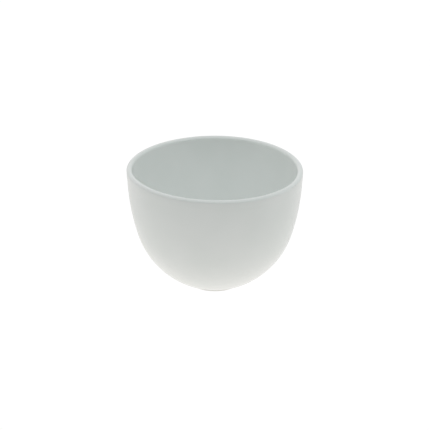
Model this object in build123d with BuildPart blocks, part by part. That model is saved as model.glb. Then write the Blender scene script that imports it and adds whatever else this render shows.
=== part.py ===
from build123d import *
from math import cos, radians, sin
import os

# A porcelain crucible, squat form, without a cover. The body is one thin-walled bowl on a small flat
# foot, with a rounded bead at the rim. A coat of glaze covers the whole inside, runs over the rim and
# down the outside, and stops just above the foot, which stays bare so that it doesn't stick to the
# kiln shelf. Both are bodies of revolution about Z.
#
# Millimetres, +Z up. The origin is the centre of the foot, on the surface that the crucible stands on.
# Every size is that of the finished, glazed piece; the body lies one coat of glaze inside it.

# Overall
mouth_diameter = 46.0
height = 32.6

# Foot: a low flat pad below the belly
foot_diameter = 14.3
foot_height = 0.4
foot_edge_round = 0.12

# Outside of the wall: the belly arc rises to the shoulder, a flatter arc goes on from there to the neck
shoulder_radius = 20.5
shoulder_height = 15.0
neck_radius = 22.84
neck_below_top = 3.2
neck_flare = 2.4  # degrees that the wall leans out from upright at the neck

# Rim: a bead that stands a little proud of the neck
rim_thickness = 1.5
rim_band = 1.6  # depth of the bead's upright side, from the top
rim_blend = 3.0  # radius of the swell where the bead's side turns in towards the neck
cove_blend = 20.0  # radius of the shallow cove below it

# Inside: the wall follows the outside, the floor is dished
wall = 1.4
floor = 1.7
floor_dish_radius = 40.0
floor_blend = 12.0  # radius that runs the dish into the side
inner_neck_blend = 25.0  # radius that runs the inside of the rim into the wall

# Glaze
glaze = 0.15
glaze_line_radius = 7.7  # the glaze stops here, on the underside of the belly
glaze_edge_round = 0.1

os.makedirs("parts", exist_ok=True)

rim_outer = mouth_diameter / 2
rim_inner = rim_outer - rim_thickness
foot_corner = Vector(foot_diameter / 2, foot_height)
shoulder = Vector(shoulder_radius, shoulder_height)
neck = Vector(neck_radius, height - neck_below_top)
down_the_neck = Vector(-sin(radians(neck_flare)), -cos(radians(neck_flare)))

# The crucible as if it weren't hollow: right half of the section, axis on the left
with BuildSketch(Plane.XZ) as outside_section:
    with BuildLine():
        upper_wall = TangentArc(neck, shoulder, tangent=down_the_neck)
        belly = TangentArc(shoulder, foot_corner, tangent=upper_wall % 1)
        Polyline(foot_corner, (foot_corner.X, 0), (0, 0), (0, height), (rim_outer, height))
        Polyline((rim_outer, height), (rim_outer, height - rim_band), neck)
    make_face()
    below_bead = outside_section.vertices().sort_by_distance((rim_outer, height - rim_band))[0]
    fillet(below_bead, rim_blend)
    cove = outside_section.vertices().sort_by_distance((neck.X, neck.Y))[0]
    fillet(cove, cove_blend)

# The hollow: its side runs one wall thickness inside the outer arcs, and shares their centres. A blend
# arc that touches both the side and the dish of the floor joins the two: its centre is one blend radius
# off each of them.
dish_centre = Vector(0, floor + floor_dish_radius)
belly_centre = belly.arc_center
wall_centre = upper_wall.arc_center
inner_belly_radius = belly.radius - wall
inner_shoulder = belly_centre + (shoulder - belly_centre).normalized() * inner_belly_radius
inner_neck = wall_centre + (neck - wall_centre).normalized() * (upper_wall.radius - wall)

with BuildSketch(Plane.XZ) as hollow_section:
    with BuildLine():
        off_dish = CenterArc(dish_centre, floor_dish_radius - floor_blend, 180, 180, mode=Mode.PRIVATE)
        off_side = CenterArc(belly_centre, inner_belly_radius - floor_blend, 180, 180, mode=Mode.PRIVATE)
        crossings = off_dish.intersect(off_side).vertices()
        blend_centre = Vector(*crossings.sort_by(Axis.X)[-1])
        dish_end = dish_centre + (blend_centre - dish_centre).normalized() * floor_dish_radius
        side_start = belly_centre + (blend_centre - belly_centre).normalized() * inner_belly_radius
        dish = TangentArc((0, floor), dish_end, tangent=(1, 0))
        blend = TangentArc(dish_end, side_start, tangent=dish % 1)
        inner_belly = TangentArc(side_start, inner_shoulder, tangent=blend % 1)
        inner_wall = TangentArc(inner_shoulder, inner_neck, tangent=inner_belly % 1)
        Polyline(inner_neck, (rim_inner, height), (0, height), (0, floor))
    make_face()
    inner_cove = hollow_section.vertices().sort_by_distance(inner_neck)[0]
    fillet(inner_cove, inner_neck_blend)

with BuildSketch(Plane.XZ) as finished_section:
    add(outside_section.sketch_local)
    add(hollow_section.sketch_local, mode=Mode.SUBTRACT)
    rim_corners = finished_section.vertices().group_by(Axis.Y)[-1]
    fillet(rim_corners, rim_thickness / 2 - 0.02)

# The body lies one coat inside the finished surface, but its foot keeps its full size, because it is
# bare. The section is mirrored before the offset so that the offset doesn't pull it away from the axis.
with BuildSketch(Plane.XZ) as body_section:
    add(finished_section.sketch_local)
    mirror(about=Plane.YZ)
    offset(amount=-glaze, mode=Mode.REPLACE)
    with Locations((mouth_diameter / 2, height / 2)):
        Rectangle(mouth_diameter, height * 2, mode=Mode.INTERSECT)
    Rectangle(foot_corner.X, foot_height + 2 * glaze, align=(Align.MIN, Align.MIN))
    foot_edge = body_section.vertices().sort_by_distance((foot_corner.X, 0))[0]
    fillet(foot_edge, foot_edge_round)

# The glaze is what lies between the body and the finished surface, as far down as the glaze line. Its
# edge is rounded over, and stands proud of the bare band between it and the foot.
with BuildSketch(Plane.XZ) as glaze_section:
    add(finished_section.sketch_local)
    add(body_section.sketch_local, mode=Mode.SUBTRACT)
    Rectangle(glaze_line_radius, floor - 2 * glaze, align=(Align.MIN, Align.MIN), mode=Mode.SUBTRACT)
    glaze_edge = glaze_section.vertices().sort_by(Axis.Y)[0]
    fillet(glaze_edge, glaze_edge_round)

with BuildPart() as porcelain_body:
    add(body_section.sketch)
    revolve(axis=Axis.Z)
porcelain_body.part.label = "porcelain_body"
export_step(porcelain_body.part, "parts/porcelain_body.step")

with BuildPart() as glaze_coat:
    add(glaze_section.sketch)
    revolve(axis=Axis.Z)
glaze_coat.part.label = "glaze_coat"
export_step(glaze_coat.part, "parts/glaze_coat.step")
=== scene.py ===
# %% [markdown]
# # A porcelain crucible
# A crucible is about the simplest pot there is: one thin bowl of white porcelain, and one coat of
# glaze fired onto it. That makes it a good lesson in three things. Both pieces are turned from a
# drawn section by a lathe built in Geometry Nodes. The small faults of a real pot, such as a rim
# that isn't quite round, are put in by rule. And a white, shiny pot is lit on white without losing
# its edges.

# %% The frame: the CAD part that everything here has to fit
from math import asin, atan2, cos, hypot, pi, radians, sin, sqrt

import bpy
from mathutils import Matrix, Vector


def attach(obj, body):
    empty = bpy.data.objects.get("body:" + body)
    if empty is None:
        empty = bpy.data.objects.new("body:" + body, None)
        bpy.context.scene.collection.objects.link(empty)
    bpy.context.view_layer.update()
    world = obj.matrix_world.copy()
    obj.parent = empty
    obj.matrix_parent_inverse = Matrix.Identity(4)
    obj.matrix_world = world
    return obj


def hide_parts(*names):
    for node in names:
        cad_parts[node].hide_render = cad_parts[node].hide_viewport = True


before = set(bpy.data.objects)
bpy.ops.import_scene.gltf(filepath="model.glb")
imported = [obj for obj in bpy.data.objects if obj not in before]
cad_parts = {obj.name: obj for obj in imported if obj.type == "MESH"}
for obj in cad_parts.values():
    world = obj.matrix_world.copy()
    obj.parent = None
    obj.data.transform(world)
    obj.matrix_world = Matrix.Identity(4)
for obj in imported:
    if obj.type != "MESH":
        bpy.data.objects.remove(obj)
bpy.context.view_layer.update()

MM = 0.001

# %% [markdown]
# ## The section
# A pot that is round about one axis is fully described by half of a slice through it. A potter's
# template is just that: a half slice cut in sheet metal. Here the template is drawn from arcs and
# straight lines, as points (radius from the axis, height). It could be drawn by hand as a Bezier
# curve, but arcs keep the sizes exact, and let one drawing give both the glaze and the body that
# lies under it. Heights run up from the surface that the pot stands on.

# %% Sizes, in millimetres
MOUTH_RADIUS = 23.0
HEIGHT = 32.6
RIM_THICKNESS = 1.5
BEAD_BOTTOM = 31.0
NECK = (22.84, 29.4)
SHOULDER = (20.5, 15.0)
FOOT = (7.15, 0.4)
NECK_FLARE = radians(2.4)
FOOT_EDGE_ROUND = 0.12
WALL = 1.4
FLOOR = 1.7
DISH_RADIUS = 40.0
GLAZE = 0.15
GLAZE_LINE = 7.7


# %% Drawing with arcs
def arc(centre, radius, start, end, step=0.5):
    """Points along an arc about `step` apart. Angles are in radians, anticlockwise from outward."""
    count = max(3, round(abs(end - start) * radius / step))
    angles = [start + (end - start) * i / count for i in range(count + 1)]
    return [(centre[0] + radius * cos(a), centre[1] + radius * sin(a)) for a in angles]


def tangent_circle(point, normal_angle, other):
    """The circle through both points that has the given outward normal at the first one."""
    nr, nz = cos(normal_angle), sin(normal_angle)
    dr, dz = other[0] - point[0], other[1] - point[1]
    radius = -(dr * dr + dz * dz) / (2 * (dr * nr + dz * nz))
    return (point[0] - radius * nr, point[1] - radius * nz), radius


def angle_at(centre, point):
    return atan2(point[1] - centre[1], point[0] - centre[0])


def smooth_step(value, low, high):
    share = min(1.0, max(0.0, (value - low) / (high - low)))
    return share * share * (3 - 2 * share)


wall_centre, wall_radius = tangent_circle(NECK, -NECK_FLARE, SHOULDER)
shoulder_angle = angle_at(wall_centre, SHOULDER)
belly_centre, belly_radius = tangent_circle(SHOULDER, shoulder_angle, FOOT)
print(f"wall arc {wall_radius:.2f} mm, belly arc {belly_radius:.2f} mm")

# %% [markdown]
# The rim carries a bead, a swelling that stands just proud of the wall. The wall's arc simply goes
# on up to the rim, and the bead is added to it and fades out below. The inside of the bowl shares
# the outside's arc centres, so the wall keeps its thickness all the way down. At the bottom the
# inside is filled up by a shallow dish. Taking the higher of two curves would leave a corner where
# they cross, so a rounded maximum is used.

# %% The curves that the skin is made of
LIP_ROUND = RIM_THICKNESS / 2 - 0.02
LIP_LEVEL = HEIGHT - LIP_ROUND
FLOOR_EDGE = 13.0
CORNER_ROUNDING = 0.25
INNER_BELLY = belly_radius - WALL
INNER_WALL = wall_radius - WALL


def wall_at(height):
    """Radius of the outer wall's arc, continued up to the rim."""
    return wall_centre[0] + sqrt(wall_radius**2 - (height - wall_centre[1])**2)


def floor_at(radius):
    """Height of the inside near the bottom: a rounded maximum of the belly's arc and the dish."""
    belly = belly_centre[1] - sqrt(INNER_BELLY**2 - (radius - belly_centre[0])**2)
    dish = FLOOR + DISH_RADIUS - sqrt(DISH_RADIUS**2 - radius**2)
    return (belly + dish + hypot(belly - dish, CORNER_ROUNDING)) / 2


def belly_angle(radius, arc_radius):
    """Where on a belly arc the pot has the given radius."""
    return asin((radius - belly_centre[0]) / arc_radius) - pi / 2


def level_angle(height, arc_radius):
    """Where on a wall arc the pot has the given height."""
    return asin((height - wall_centre[1]) / arc_radius)


# %% The skin of the finished pot, from the middle of the floor, over the rim, to the glaze line
FLAT_STEP = 0.5
BAND_STEP = 0.2
LIP_STEP = 0.08

inside = [(i * FLAT_STEP, floor_at(i * FLAT_STEP)) for i in range(int(FLOOR_EDGE / FLAT_STEP))]
inside += arc(belly_centre, INNER_BELLY, belly_angle(FLOOR_EDGE, INNER_BELLY), shoulder_angle)
below_lip = level_angle(LIP_LEVEL - BAND_STEP, INNER_WALL)
inside += arc(wall_centre, INNER_WALL, shoulder_angle, below_lip)[1:]

inner_lip_centre = (MOUTH_RADIUS - RIM_THICKNESS + LIP_ROUND, LIP_LEVEL)
outer_lip_centre = (MOUTH_RADIUS - LIP_ROUND, LIP_LEVEL)
lip_inside = arc(inner_lip_centre, LIP_ROUND, pi, pi / 2, LIP_STEP)
lip_outside = arc(outer_lip_centre, LIP_ROUND, pi / 2, 0, LIP_STEP)

bead = MOUTH_RADIUS - wall_at(LIP_LEVEL)
band_count = int((LIP_LEVEL - NECK[1]) / BAND_STEP)
band_heights = [LIP_LEVEL - BAND_STEP * i for i in range(1, band_count + 1)]
band = [(wall_at(z) + bead * smooth_step(z, NECK[1], BEAD_BOTTOM), z) for z in band_heights]

glaze_line_angle = belly_angle(GLAZE_LINE, belly_radius)
outside = arc(wall_centre, wall_radius, -NECK_FLARE, shoulder_angle)
outside += arc(belly_centre, belly_radius, shoulder_angle, glaze_line_angle)[1:]
skin = inside + lip_inside + lip_outside[1:] + band + outside
print(f"skin: {len(skin)} points; bead {bead:.2f} mm proud")

# %% [markdown]
# ## Two layers from one skin
# The glaze is a coat of even thickness, so its underside is the skin moved inwards along its own
# normal, and that is the surface of the porcelain body too. Its bottom edge is where the potter
# wiped it off before firing, so that the foot doesn't stick to the kiln shelf. Melting glaze draws
# itself up into a small roll there, so the edge gets a half-round end and a slight swelling behind
# it. The glaze's underside is hidden, so every third of its points is enough.

# %% Normals, and the rolled edge of the glaze
ROLL_HEIGHT = 0.04
ROLL_WIDTH = 0.5


def normals(points):
    """Unit normals on the left of a chain of points, which is the outside of the pot here."""
    result = []
    for i in range(len(points)):
        before, after = points[max(i - 1, 0)], points[min(i + 1, len(points) - 1)]
        dr, dz = after[0] - before[0], after[1] - before[1]
        length = hypot(dr, dz)
        result.append((-dz / length, dr / length))
    result[0] = (0.0, 1.0)
    return result


def moved(points, directions, distance):
    return [(p[0] + d[0] * distance, p[1] + d[1] * distance) for p, d in zip(points, directions)]


skin_normals = normals(skin)
underside = moved(skin, skin_normals, -GLAZE)
edge_normal = skin_normals[-1]
edge_middle = (skin[-1][0] - edge_normal[0] * GLAZE / 2, skin[-1][1] - edge_normal[1] * GLAZE / 2)
turn = atan2(edge_normal[1], edge_normal[0])
glaze_end = arc(edge_middle, GLAZE / 2, turn, turn - pi, 0.03)[1:-1]
rolled = []
for point, normal in zip(skin, skin_normals):
    away = hypot(point[0] - skin[-1][0], point[1] - skin[-1][1])
    swell = ROLL_HEIGHT * max(0.0, 1 - (away / (2 * ROLL_WIDTH)))**2 * min(1.0, away / ROLL_WIDTH)
    rolled.append((point[0] + normal[0] * swell, point[1] + normal[1] * swell))

# %% The bare foot, and the two closed sections
CORNER_FILLET = 0.08
foot_radius, foot_top = FOOT
bare_radius = belly_radius - GLAZE
bare_belly = arc(belly_centre, bare_radius, belly_angle(GLAZE_LINE, bare_radius),
                 belly_angle(foot_radius + CORNER_FILLET, bare_radius), 0.1)
foot_side = [(foot_radius + 0.02, bare_belly[-1][1] - 0.06), (foot_radius, foot_top - 0.05)]
flat_radius = foot_radius - FOOT_EDGE_ROUND
foot_side += arc((flat_radius, FOOT_EDGE_ROUND), FOOT_EDGE_ROUND, 0, -pi / 2, 0.04)
foot_face = [(flat_radius - i * FLAT_STEP, 0.0) for i in range(1, 14)] + [(0.0, 0.0)]

middle_of_floor = (0.0, FLOOR - GLAZE)
glaze_section = rolled + glaze_end + underside[::-3] + [middle_of_floor]
body_section = [middle_of_floor] + underside[1:] + bare_belly[1:] + foot_side + foot_face
print(f"glaze section {len(glaze_section)} points, body section {len(body_section)} points")

# %% [markdown]
# ## The lathe
# Blender has a Screw modifier that turns a section into a pot, but it can't be told that the pot is
# slightly out of round. A lathe made in Geometry Nodes can. It makes a flat grid with one row for
# each point of the section and one column for each step round, looks up the radius and height of
# its row, and puts the vertex there. Everything a real pot does wrong is then a small term added to
# the radius or the height.

# %% A few helpers that keep node trees short
def add_node(tree, kind, values=None, **settings):
    """A new node. `values` are input values by name or number; settings are the node's own."""
    made = tree.nodes.new(kind)
    for name, value in settings.items():
        setattr(made, name, value)
    for key, value in (values or {}).items():
        made.inputs[key].default_value = value
    return made


def join(tree, source, target, socket):
    """Link a node's first output, or a given output socket, to an input."""
    out = source if isinstance(source, bpy.types.NodeSocket) else source.outputs[0]
    tree.links.new(out, target.inputs[socket])


def math_node(tree, operation, first, second=None, third=None):
    """A Math node whose inputs are numbers, nodes or sockets."""
    made = add_node(tree, "ShaderNodeMath", operation=operation)
    for socket, value in enumerate((first, second, third)):
        if value is None:
            continue
        if isinstance(value, (int, float)):
            made.inputs[socket].default_value = value
        else:
            join(tree, value, made, socket)
    return made


# %% The lathe's inputs
lathe = bpy.data.node_groups.new("Potter's lathe", "GeometryNodeTree")
lathe.interface.new_socket("Geometry", in_out="OUTPUT", socket_type="NodeSocketGeometry")
lathe.interface.new_socket("Section", in_out="INPUT", socket_type="NodeSocketGeometry")
LATHE_INPUTS = [
    ("Segments", "NodeSocketInt"), ("Height", "NodeSocketFloat"),
    ("Out of round", "NodeSocketFloat"), ("Rim wave", "NodeSocketFloat"),
    ("Rim tilt", "NodeSocketFloat"), ("Rim saddle", "NodeSocketFloat"),
    ("Glaze creep", "NodeSocketFloat"), ("Ripple", "NodeSocketFloat"),
    ("Turning rings", "NodeSocketFloat"), ("Seed", "NodeSocketFloat"),
    ("Finish", "NodeSocketMaterial"),
]
lathe_sockets = {
    name: lathe.interface.new_socket(name, in_out="INPUT", socket_type=kind).identifier
    for name, kind in LATHE_INPUTS
}
given = lathe.nodes.new("NodeGroupInput").outputs

# %% Grid, row and column
size = add_node(lathe, "GeometryNodeAttributeDomainSize", component="MESH")
join(lathe, given["Section"], size, 0)
columns = math_node(lathe, "ADD", given["Segments"], 1)
grid = add_node(lathe, "GeometryNodeMeshGrid", {"Size X": 1.0, "Size Y": 1.0})
join(lathe, size.outputs["Point Count"], grid, "Vertices X")
join(lathe, columns, grid, "Vertices Y")
index = add_node(lathe, "GeometryNodeInputIndex")
half_on = math_node(lathe, "ADD", index, 0.5)
row = math_node(lathe, "FLOOR", math_node(lathe, "DIVIDE", half_on, columns))
column = math_node(lathe, "SUBTRACT", index, math_node(lathe, "MULTIPLY", row, columns))
share_round = math_node(lathe, "DIVIDE", column, given["Segments"])
angle = math_node(lathe, "MULTIPLY", share_round, 2 * pi)


def read_section(name, kind):
    """The value that this row's point of the section has, of its position or a named attribute."""
    if name == "position":
        field = add_node(lathe, "GeometryNodeInputPosition")
    else:
        field = add_node(lathe, "GeometryNodeInputNamedAttribute", {"Name": name}, data_type=kind)
    sample = add_node(lathe, "GeometryNodeSampleIndex", data_type=kind, domain="POINT")
    join(lathe, given["Section"], sample, "Geometry")
    join(lathe, field.outputs[0], sample, "Value")
    join(lathe, row, sample, "Index")
    return sample


section_place = add_node(lathe, "ShaderNodeSeparateXYZ")
join(lathe, read_section("position", "FLOAT_VECTOR"), section_place, 0)
section_creep = add_node(lathe, "ShaderNodeSeparateXYZ")
join(lathe, read_section("creep", "FLOAT_VECTOR"), section_creep, 0)

# %% [markdown]
# Noise that runs round the pot has to meet itself again after a full turn. Reading a 3-D noise
# along a circle does that: the circle closes, so the noise does too. A bigger circle passes through
# more of the noise and gives more waves in a turn.
#
# A thin bowl also gives way in the kiln in simpler ways. Its rim goes a little oval, tilts, and
# sags into a slight saddle. Each of those is a cosine round the pot, with one crest for the tilt
# and two for the oval and for the saddle. A weak cosine with three crests is added to the oval, so
# that it isn't too regular. All of them grow towards the rim, and leave the stiff foot true.

# %% Waves round the pot
cosine = math_node(lathe, "COSINE", angle)
sine = math_node(lathe, "SINE", angle)


def noise_round(circle, offset):
    """Noise between about -0.5 and 0.5 that closes on itself round the pot."""
    ring = add_node(lathe, "ShaderNodeCombineXYZ")
    join(lathe, math_node(lathe, "MULTIPLY", cosine, circle), ring, 0)
    join(lathe, math_node(lathe, "MULTIPLY", sine, circle), ring, 1)
    join(lathe, math_node(lathe, "ADD", given["Seed"], offset), ring, 2)
    noise = add_node(lathe, "ShaderNodeTexNoise", {"Scale": 1.0, "Detail": 2.0},
                     noise_dimensions="3D")
    join(lathe, ring, noise, "Vector")
    return math_node(lathe, "SUBTRACT", noise.outputs[0], 0.5)


def lobes(count, phase):
    """A wave with the given number of crests round the pot."""
    return math_node(lathe, "COSINE", math_node(lathe, "MULTIPLY_ADD", angle, count, phase))


# %% The wandering edge of the glaze, and a rim that is neither round nor level
CREEP_CIRCLE, CREEP_OFFSET = 4.0, 0.0
WAVE_CIRCLE, WAVE_OFFSET = 1.1, 5.0
THIRD_CREST = 0.23
OVAL_PHASE, THIRD_PHASE, TILT_PHASE, SADDLE_PHASE = 2.14, 2.1, 3.24, -2.3

creep_noise = noise_round(CREEP_CIRCLE, CREEP_OFFSET)
creep = math_node(lathe, "MULTIPLY", creep_noise, given["Glaze creep"])
radius = math_node(lathe, "MULTIPLY_ADD", section_creep.outputs[0], creep, section_place.outputs[0])
level = math_node(lathe, "MULTIPLY_ADD", section_creep.outputs[1], creep, section_place.outputs[1])

up = math_node(lathe, "DIVIDE", level, given["Height"])
up_squared = math_node(lathe, "MULTIPLY", up, up)
up_cubed = math_node(lathe, "MULTIPLY", up_squared, up)
oval = math_node(lathe, "MULTIPLY_ADD", lobes(3.0, THIRD_PHASE), THIRD_CREST,
                 lobes(2.0, OVAL_PHASE))
oval_here = math_node(lathe, "MULTIPLY", up_squared, given["Out of round"])
stretch = math_node(lathe, "MULTIPLY", oval, oval_here)
lift = math_node(lathe, "MULTIPLY", noise_round(WAVE_CIRCLE, WAVE_OFFSET), given["Rim wave"])
lift = math_node(lathe, "MULTIPLY_ADD", lobes(1.0, TILT_PHASE), given["Rim tilt"], lift)
lift = math_node(lathe, "MULTIPLY_ADD", lobes(2.0, SADDLE_PHASE), given["Rim saddle"], lift)
level = math_node(lathe, "MULTIPLY_ADD", lift, up_cubed, level)
radius = math_node(lathe, "MULTIPLY", radius, math_node(lathe, "ADD", stretch, 1.0))

# %% Putting the vertices in place, and closing the seam and the poles
WELD = 2e-6
place = add_node(lathe, "ShaderNodeCombineXYZ")
join(lathe, math_node(lathe, "MULTIPLY", radius, cosine), place, 0)
join(lathe, math_node(lathe, "MULTIPLY", radius, sine), place, 1)
join(lathe, level, place, 2)
turned = add_node(lathe, "GeometryNodeSetPosition")
join(lathe, grid, turned, "Geometry")
join(lathe, place, turned, "Position")
marked = add_node(lathe, "GeometryNodeStoreNamedAttribute", {"Name": "skin"},
                  data_type="FLOAT", domain="POINT")
join(lathe, turned, marked, "Geometry")
join(lathe, read_section("skin", "FLOAT"), marked, "Value")
closed = add_node(lathe, "GeometryNodeMergeByDistance", {"Distance": WELD})
join(lathe, marked, closed, "Geometry")

# %% [markdown]
# The last faults lie on the skin itself and follow its normal. Glaze runs into long, low ripples as
# it melts. Under it are the rings that the turning tool left. They lie one above the other, so
# their noise is read from the radius and the height alone. Both are a few thousandths of a
# millimetre high: too little to see as shape, and enough to bend a reflection. They leave the
# hidden underside of the glaze alone, because it has no skin mark.

# %% Ripples and turning rings
RIPPLE_SCALE = 170.0
RING_SCALE = 550.0


def relief_noise(source, scale, amount):
    """Noise at the given place, between about -0.5 and 0.5, times one of the lathe's inputs."""
    noise = add_node(lathe, "ShaderNodeTexNoise", {"Scale": scale, "Detail": 1.0},
                     noise_dimensions="3D")
    join(lathe, source, noise, "Vector")
    centred = math_node(lathe, "SUBTRACT", noise.outputs[0], 0.5)
    return math_node(lathe, "MULTIPLY", centred, given[amount])


where = add_node(lathe, "GeometryNodeInputPosition")
axes = add_node(lathe, "ShaderNodeSeparateXYZ")
join(lathe, where, axes, 0)
x_squared = math_node(lathe, "MULTIPLY", axes.outputs[0], axes.outputs[0])
y_squared = math_node(lathe, "MULTIPLY", axes.outputs[1], axes.outputs[1])
ring_place = add_node(lathe, "ShaderNodeCombineXYZ")
join(lathe, math_node(lathe, "SQRT", math_node(lathe, "ADD", x_squared, y_squared)), ring_place, 0)
join(lathe, axes.outputs[2], ring_place, 1)
join(lathe, math_node(lathe, "MULTIPLY", given["Seed"], 0.01), ring_place, 2)
ripple = relief_noise(where, RIPPLE_SCALE, "Ripple")
rings = relief_noise(ring_place, RING_SCALE, "Turning rings")

# %% Moving the skin along its normal, and the end of the tree
skin_mark = add_node(lathe, "GeometryNodeInputNamedAttribute", {"Name": "skin"}, data_type="FLOAT")
relief = math_node(lathe, "MULTIPLY", math_node(lathe, "ADD", ripple, rings), skin_mark.outputs[0])
along = add_node(lathe, "ShaderNodeVectorMath", operation="SCALE")
join(lathe, add_node(lathe, "GeometryNodeInputNormal"), along, 0)
join(lathe, relief, along, "Scale")
rippled = add_node(lathe, "GeometryNodeSetPosition")
join(lathe, closed, rippled, "Geometry")
join(lathe, along, rippled, "Offset")

smooth = add_node(lathe, "GeometryNodeSetShadeSmooth")
join(lathe, rippled, smooth, "Geometry")
real = add_node(lathe, "GeometryNodeRealizeInstances")
join(lathe, smooth, real, "Geometry")
finished = add_node(lathe, "GeometryNodeSetMaterial")
join(lathe, real, finished, "Geometry")
join(lathe, given["Finish"], finished, "Material")
join(lathe, finished, lathe.nodes.new("NodeGroupOutput"), "Geometry")
print(f"lathe: {len(lathe.nodes)} nodes")

# %% [markdown]
# ## From section to piece
# A section goes into the lathe as a chain of vertices, and each vertex carries two marks: whether
# it lies on the skin, and which way it moves when the glaze creeps. The glaze's edge creeps along
# the belly, and the movement fades out a few millimetres above the glaze line.

# %% How a point moves when the glaze creeps by one
CREEP_REACH = 3.0
DOWN_THE_BELLY = (sin(glaze_line_angle), -cos(glaze_line_angle))


def creep_of(radius, height):
    """The change of radius and height. Only points outside the bowl, near the line, move."""
    if radius > FLOOR_EDGE or height > floor_at(radius) - WALL / 2:
        return 0.0, 0.0
    near = 1 - smooth_step(radius, GLAZE_LINE, GLAZE_LINE + CREEP_REACH)
    return DOWN_THE_BELLY[0] * near, DOWN_THE_BELLY[1] * near


# %% Turning a section into a piece
def turn_piece(name, section, skin_count, **inputs):
    """A pot turned from a section in millimetres, as a plain mesh in metres.

    The first `skin_count` points of the section are on the skin.
    """
    chain = bpy.data.meshes.new(name + " section")
    chain.from_pydata([(r * MM, z * MM, 0.0) for r, z in section],
                      [(i, i + 1) for i in range(len(section) - 1)], [])
    skin_marks = [float(i < skin_count) for i in range(len(section))]
    chain.attributes.new("skin", "FLOAT", "POINT").data.foreach_set("value", skin_marks)
    creeps = [value for r, z in section for value in (*creep_of(r, z), 0.0)]
    chain.attributes.new("creep", "FLOAT_VECTOR", "POINT").data.foreach_set("vector", creeps)
    piece = bpy.data.objects.new(name, chain)
    bpy.context.scene.collection.objects.link(piece)
    modifier = piece.modifiers.new("Lathe", "NODES")
    modifier.node_group = lathe
    for key, value in inputs.items():
        modifier[lathe_sockets[key.replace("_", " ").capitalize()]] = value
    evaluated = piece.evaluated_get(bpy.context.evaluated_depsgraph_get())
    solid = bpy.data.meshes.new_from_object(evaluated)
    piece.modifiers.remove(modifier)
    piece.data = solid
    bpy.data.meshes.remove(chain)
    return piece


# %% [markdown]
# ## The finishes
# Porcelain is white because light scatters inside it, and shiny because a skin of clear glass lies
# on top. The Principled shader has both: a rough white base, and a coat for the glass. The white is
# never even. It shifts slowly from place to place with the thickness of the glaze. Along the top of
# the rim it is painted a little greyer, as painted shade for the dimmer light that falls on the top
# of the rim. A few tiny specks of iron burn through it
# in the kiln. All of it is read from Object coordinates, so the marks stay on the pot when it is
# moved.

# %% Material helpers
def new_material(name, **values):
    """A material with a Principled shader; returns the material, its node tree and the shader."""
    material = bpy.data.materials.new(name)
    material.use_nodes = True
    shader = material.node_tree.nodes["Principled BSDF"]
    for key, value in values.items():
        shader.inputs[key.replace("_", " ")].default_value = value
    return material, material.node_tree, shader


def mix_colours(tree, factor, first, second):
    """A colour mix. The factor is a node or socket; the colours may be plain values too."""
    mix = add_node(tree, "ShaderNodeMix", data_type="RGBA")
    for name, value in (("Factor_Float", factor), ("A_Color", first), ("B_Color", second)):
        target = next(socket for socket in mix.inputs if socket.identifier == name)
        if isinstance(value, tuple):
            target.default_value = value
        else:
            out = value if isinstance(value, bpy.types.NodeSocket) else value.outputs[0]
            tree.links.new(out, target)
    return next(socket for socket in mix.outputs if socket.identifier == "Result_Color")


def remap(tree, source, low, high, new_low=0.0, new_high=1.0):
    """A smooth step from one range to another. It falls where `low` is the larger."""
    step = add_node(tree, "ShaderNodeMapRange", {1: low, 2: high, 3: new_low, 4: new_high},
                    interpolation_type="SMOOTHSTEP")
    join(tree, source, step, 0)
    return step


# %% The colour of the glaze
THICK_GLAZE = (0.800, 0.824, 0.806, 1)
EVEN_GLAZE = (0.824, 0.842, 0.828, 1)
# The rim colour is painted shade: the top of the rim is greyer to stand for the dimmer light on it.
RIM_PAINTED_SHADE = (0.760, 0.776, 0.762, 1)
RIM_SHADE_FROM, RIM_SHADE_TO = 31.9 * MM, 32.5 * MM

glaze, tree, shader = new_material(
    "Porcelain glaze", IOR=1.5, Coat_Weight=0.5, Coat_Roughness=0.07, Coat_IOR=1.5)
coordinates = add_node(tree, "ShaderNodeTexCoord")
here = coordinates.outputs["Object"]
height_here = add_node(tree, "ShaderNodeSeparateXYZ")
join(tree, here, height_here, 0)

cloud = add_node(tree, "ShaderNodeTexNoise", {"Scale": 70.0, "Detail": 2.0})
join(tree, here, cloud, "Vector")
cloudy = mix_colours(tree, remap(tree, cloud.outputs[0], 0.35, 0.65), THICK_GLAZE, EVEN_GLAZE)
# Painted shade: this mask greys the top of the rim, from a little below it up to the lip.
rim_shade_mask = remap(tree, height_here.outputs[2], RIM_SHADE_FROM, RIM_SHADE_TO)
with_rim_shade = mix_colours(tree, rim_shade_mask, cloudy, RIM_PAINTED_SHADE)

# %% Specks: a dot in the middle of a few cells in a hundred
IRON = (0.36, 0.31, 0.24, 1)
RARER_THAN = 0.955
SPECK_CORE, SPECK_EDGE = 0.022, 0.05
SPECK_STRENGTH = 0.45

speck_cells = add_node(tree, "ShaderNodeTexVoronoi", {"Scale": 260.0, "Randomness": 1.0})
join(tree, here, speck_cells, "Vector")
speck_pick = add_node(tree, "ShaderNodeSeparateColor")
join(tree, speck_cells.outputs["Color"], speck_pick, 0)
rare = math_node(tree, "GREATER_THAN", speck_pick.outputs[0], RARER_THAN)
dot = remap(tree, speck_cells.outputs["Distance"], SPECK_CORE, SPECK_EDGE, 1.0, 0.0)
speck = math_node(tree, "MULTIPLY", math_node(tree, "MULTIPLY", rare, dot), SPECK_STRENGTH)
specked = mix_colours(tree, speck, with_rim_shade, IRON)
join(tree, specked, shader, "Base Color")

# %% Smears of a slightly different gloss
SMOOTHEST, ROUGHEST = 0.31, 0.40

smear = add_node(tree, "ShaderNodeTexNoise", {"Scale": 45.0, "Detail": 3.0})
join(tree, here, smear, "Vector")
join(tree, remap(tree, smear.outputs[0], 0.3, 0.7, SMOOTHEST, ROUGHEST), shader, "Roughness")

# %% [markdown]
# The bare foot is the same porcelain with nothing over it. It is dull, a little warmer, and has
# been rubbed flat on a wheel after firing, which leaves fine scratches that all run one way and
# picks up grey dust in the grain.

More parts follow.
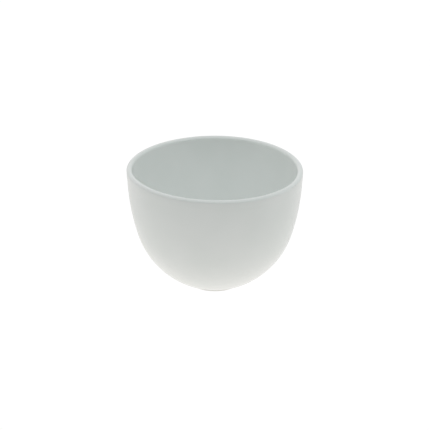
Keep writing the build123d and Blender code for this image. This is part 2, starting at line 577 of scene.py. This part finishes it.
# %% The bare porcelain
CLEAN = (0.80, 0.79, 0.755, 1)
STAINED = (0.72, 0.70, 0.655, 1)
DUST = (0.55, 0.53, 0.49, 1)
SCRATCHED = (0.56, 0.55, 0.53, 1)

bare, tree, shader = new_material("Bare porcelain", IOR=1.45, Roughness=0.8)
coordinates = add_node(tree, "ShaderNodeTexCoord")
here = coordinates.outputs["Object"]
grain = add_node(tree, "ShaderNodeTexNoise", {"Scale": 2600.0, "Detail": 3.0})
join(tree, here, grain, "Vector")
blotch = add_node(tree, "ShaderNodeTexNoise", {"Scale": 210.0, "Detail": 3.0})
join(tree, here, blotch, "Vector")
stretched = add_node(tree, "ShaderNodeMapping", {"Rotation": (0, 0, 0.5), "Scale": (60, 2400, 60)})
join(tree, here, stretched, "Vector")
scratches = add_node(tree, "ShaderNodeTexNoise", {"Scale": 1.0, "Detail": 2.0})
join(tree, stretched, scratches, "Vector")

warm = mix_colours(tree, remap(tree, blotch.outputs[0], 0.35, 0.7), CLEAN, STAINED)
dusty = mix_colours(tree, remap(tree, grain.outputs[0], 0.55, 0.75, 0.0, 0.35), warm, DUST)
in_scratch = remap(tree, scratches.outputs[0], 0.58, 0.7, 0.0, 0.3)
rubbed = mix_colours(tree, in_scratch, dusty, SCRATCHED)
join(tree, rubbed, shader, "Base Color")
relief_sum = math_node(tree, "ADD", grain.outputs[0], scratches.outputs[0])
bump = add_node(tree, "ShaderNodeBump", {"Strength": 0.35, "Distance": 0.04 * MM})
join(tree, relief_sum, bump, "Height")
join(tree, bump, shader, "Normal")

# %% [markdown]
# ## Turning the two pieces
# Both pieces go through the same lathe with the same faults and the same seed, so the glaze goes on
# fitting its body. Only the glaze creeps and has ripples.

# %% The pieces
faults = {"Segments": 250, "Height": HEIGHT * MM, "Out_of_round": 0.0033, "Rim_wave": 0.22 * MM,
          "Rim_tilt": 0.18 * MM, "Rim_saddle": 0.14 * MM, "Seed": 3.0}
glaze_piece = turn_piece("glaze_coat", glaze_section, len(rolled) + len(glaze_end),
                         Glaze_creep=0.6 * MM, Ripple=0.012 * MM, Turning_rings=0.008 * MM,
                         Finish=glaze, **faults)
body_piece = turn_piece("porcelain_body", body_section, 0, Finish=bare, **faults)

for piece, node, slot in ((glaze_piece, "glaze_coat", "porcelain_glaze"),
                          (body_piece, "porcelain_body", "bare_porcelain")):
    piece.name = piece.data.name = node + "_turned"
    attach(piece, "root")
    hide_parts(node)


# %% Is each piece closed, and is it the right size?
def measure(mesh):
    """Triangles, edges without exactly two faces, and volume in cubic millimetres."""
    uses = {}
    for polygon in mesh.polygons:
        for key in polygon.edge_keys:
            uses[key] = uses.get(key, 0) + 1
    mesh.calc_loop_triangles()
    volume = 0.0
    for triangle in mesh.loop_triangles:
        a, b, c = (mesh.vertices[v].co for v in triangle.vertices)
        volume += a.dot(b.cross(c)) / 6
    open_edges = sum(1 for count in uses.values() if count != 2)
    return len(mesh.loop_triangles), open_edges, round(volume / MM**3)


for piece in (glaze_piece, body_piece):
    triangles, open_edges, volume = measure(piece.data)
    print(piece.name, triangles, "triangles;", open_edges, "open edges;", volume, "mm3;",
          [round(d / MM, 2) for d in piece.dimensions])

# %% [markdown]
# ## Light, floor and camera
# A white pot on white is lit from below and above, and kept dark in front. The table is a sheet of
# opal glass lit from underneath. It is brightest right under the pot, fades beyond it, and is dark
# far out in front. So it leaves no shadow, and fills the underside of the bowl with light. A broad
# soft light overhead reaches down into the bowl. The room in front is dim, so the side that faces
# the camera stays a clear grey, and brightens only towards its edges, where it mirrors the bright
# sides of the room. The left side is a little brighter and warmer than the right. To the camera
# itself both the table and the room are plain white, whichever way it looks.

# %% The lit table
TABLE_SEEN = (1.02, 1.02, 1.02, 1)
TABLE_UNDER_POT = (1.0, 0.985, 0.955, 1)
TABLE_NEAR = (0.885, 0.88, 0.862, 1)
TABLE_FAR_BEHIND = 0.66
UNDER_POT, NOT_UNDER_POT = 0.015, 0.055
LIT, UNLIT = 0.10, 0.20
FAR_IN_FRONT, FAR_BEHIND = -0.16, 0.06

bpy.ops.mesh.primitive_circle_add(vertices=96, radius=3.0, fill_type="NGON", location=(0, 0, 0))
table = bpy.context.object
table.name = "lit_table"
opal, tree, shader = new_material("Lit opal glass", Base_Color=(0.0, 0.0, 0.0, 1), Roughness=1.0,
                                  Specular_IOR_Level=0.0, Emission_Strength=1.0)
spot = add_node(tree, "ShaderNodeTexCoord").outputs["Object"]
spot_axes = add_node(tree, "ShaderNodeSeparateXYZ")
join(tree, spot, spot_axes, 0)
from_middle = add_node(tree, "ShaderNodeVectorMath", operation="LENGTH")
join(tree, spot, from_middle, 0)
distance = from_middle.outputs["Value"]

beyond = remap(tree, spot_axes.outputs[1], FAR_IN_FRONT, FAR_BEHIND, 0.0, TABLE_FAR_BEHIND)
near = mix_colours(tree, remap(tree, distance, NOT_UNDER_POT, UNDER_POT), TABLE_NEAR,
                   TABLE_UNDER_POT)
glow = mix_colours(tree, remap(tree, distance, UNLIT, LIT), beyond, near)
seen = add_node(tree, "ShaderNodeLightPath").outputs["Is Camera Ray"]
join(tree, mix_colours(tree, seen, glow, TABLE_SEEN), shader, "Emission Color")
table.data.materials.append(opal)

# %% The room: bright overhead, less so at the sides and back, dim in front
OVERHEAD_FRONT = (1.05, 1.10, 1.10, 1)
OVERHEAD_BACK = (0.76, 0.77, 0.77, 1)
LEFT_SIDE = (0.97, 0.95, 0.935, 1)
RIGHT_SIDE = (0.80, 0.83, 0.83, 1)
FRONT_LEFT = (0.05, 0.06, 0.05, 1)
FRONT_RIGHT = (0.20, 0.21, 0.20, 1)
ROOM_SEEN = (1.0, 1.0, 1.0, 1)

world = bpy.data.worlds.new("Studio")
bpy.context.scene.world = world
world.use_nodes = True
sky = world.node_tree
direction = add_node(sky, "ShaderNodeSeparateXYZ")
join(sky, add_node(sky, "ShaderNodeTexCoord").outputs["Generated"], direction, 0)
rightward, backward, upward = direction.outputs
from_left = remap(sky, rightward, -0.6, 0.6)
front = mix_colours(sky, from_left, FRONT_LEFT, FRONT_RIGHT)
sides = mix_colours(sky, from_left, LEFT_SIDE, RIGHT_SIDE)
low = mix_colours(sky, remap(sky, backward, -0.95, 0.1), front, sides)
overhead = mix_colours(sky, remap(sky, backward, -0.6, 0.6), OVERHEAD_FRONT, OVERHEAD_BACK)
room = mix_colours(sky, remap(sky, upward, 0.15, 0.75), low, overhead)
seen = add_node(sky, "ShaderNodeLightPath").outputs["Is Camera Ray"]
join(sky, mix_colours(sky, seen, room, ROOM_SEEN), sky.nodes["Background"], "Color")

# %% Plain colours, with no film look
scene = bpy.context.scene
scene.view_settings.view_transform = "Standard"
scene.view_settings.look = "None"
scene.view_settings.exposure = 0.0
scene.view_settings.gamma = 1.0

# %% The camera, at this distance and elevation from the middle of the rim
CAMERA_DISTANCE = 0.4
CAMERA_ELEVATION = radians(22.09)
CAMERA_LENS = 128.7
AIM = Vector((0.04 * MM, 0.0, 18.92 * MM))

camera = bpy.data.objects.new("camera", bpy.data.cameras.new("camera"))
scene.collection.objects.link(camera)
camera.location = (0.0, -CAMERA_DISTANCE * cos(CAMERA_ELEVATION),
                   HEIGHT * MM + CAMERA_DISTANCE * sin(CAMERA_ELEVATION))
camera.rotation_euler = (AIM - camera.location).to_track_quat("-Z", "Y").to_euler()
camera.data.lens = CAMERA_LENS
camera.data.sensor_width = 36.0
camera.data.clip_start = 0.01
scene.camera = camera
